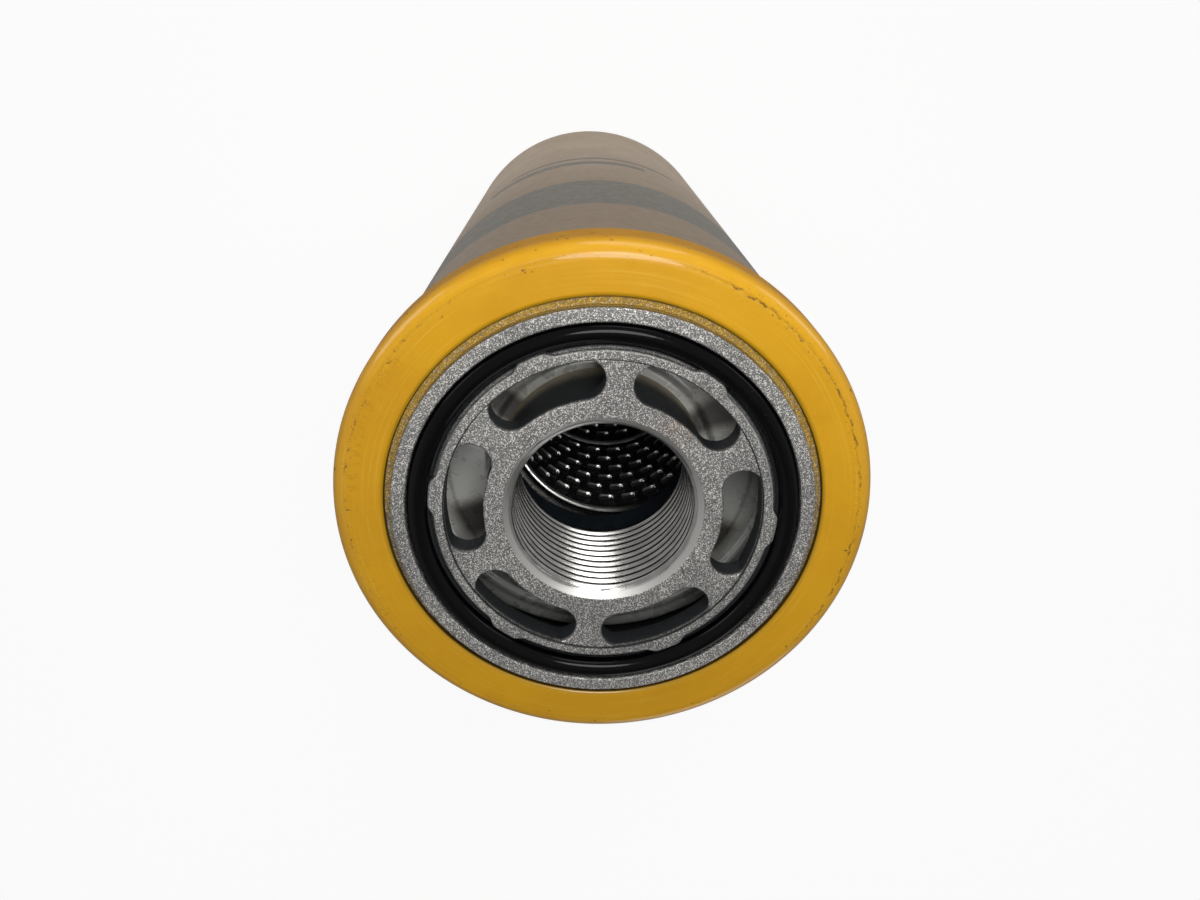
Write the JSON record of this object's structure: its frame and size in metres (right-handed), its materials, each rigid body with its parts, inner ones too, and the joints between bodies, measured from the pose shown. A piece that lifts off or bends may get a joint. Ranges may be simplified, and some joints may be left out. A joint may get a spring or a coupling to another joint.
{
  "type": "spin-on hydraulic filter",
  "caption": "Tall spin-on hydraulic filter: yellow rolled can rim, cast base plate with kidney flow slots, O-ring, threaded spigot and a sprung pleated element.",
  "frame": {"origin": "centre of the standing ring of the closed end, in the plane that the filter stands on", "axes": "+Z along the filter's axis towards the threaded port; +X along the picture's horizontal, 6.5 degrees past the middle of one flow slot; +Y completes the right-handed set"},
  "size_m": [0.097, 0.097, 0.241],
  "materials": {
    "can_steel": "satin beige-grey paint, with gloss yellow on the rolled rim and lip",
    "cast_aluminium": "shot-blasted die casting with bright machined threads",
    "seal_rubber": "gloss black",
    "grommet_rubber": "matte black",
    "spring_steel": "drawn wire",
    "plated_steel": "dull zinc plate",
    "tube_steel": "gloss black, oily",
    "wire_mesh": "woven wire",
    "media": "glass fibre fleece",
    "adhesive": "cured adhesive",
    "band_fibre": "glass cord in resin"
  },
  "bodies": {
    "housing": {"can": "can_steel", "base_plate": "cast_aluminium", "mounting_o_ring": "seal_rubber", "can_seal": "seal_rubber", "element_spring": "spring_steel"},
    "element": {"top_end_cap": "plated_steel", "spigot_grommet": "grommet_rubber", "centre_tube": "tube_steel", "inner_wire_mesh": "wire_mesh", "filter_media": "media", "outer_wire_mesh": "wire_mesh", "pleat_seam_clip": "plated_steel", "binding_band_1": "band_fibre", "binding_band_2": "band_fibre", "binding_band_3": "band_fibre", "binding_band_4": "band_fibre", "binding_band_5": "band_fibre", "top_potting": "adhesive", "bottom_potting": "adhesive", "bottom_end_cap": "plated_steel"}
  },
  "joints": [
    {"name": "element_travel", "type": "slide", "parent": "housing", "child": "element", "axis": [0, 0, 1], "range_m": [-0.003, 0], "stiffness_N_per_m": 3000, "springref_m": 0.008, "deforming": ["element_spring"]}
  ]
}
